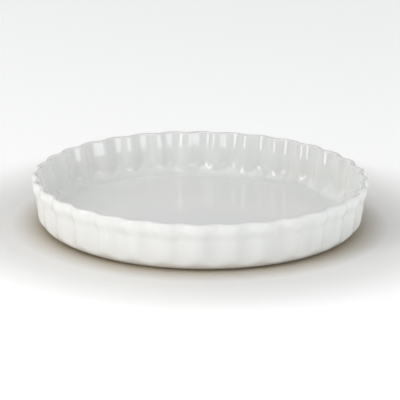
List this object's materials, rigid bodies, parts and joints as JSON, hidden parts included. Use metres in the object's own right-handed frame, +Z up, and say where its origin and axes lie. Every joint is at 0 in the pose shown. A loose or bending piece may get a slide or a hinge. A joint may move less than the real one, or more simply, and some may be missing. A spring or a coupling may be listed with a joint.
{
  "type": "fluted tart dish",
  "caption": "Round shallow baking dish with a fluted, slightly flared wall and rounded rim, for open tarts and quiches; glazed white ceramic, stands on a flat foot ring.",
  "frame": {"origin": "centre of the face the dish stands on", "axes": "+Z is up, along the dish's axis, out of its open top; X and Y lie in the table's plane, with no front or back"},
  "size_m": [0.28, 0.28, 0.041],
  "materials": {
    "glaze": "glossy white glaze"
  },
  "bodies": {
    "root": {"dish": "glaze"}
  },
  "joints": []
}
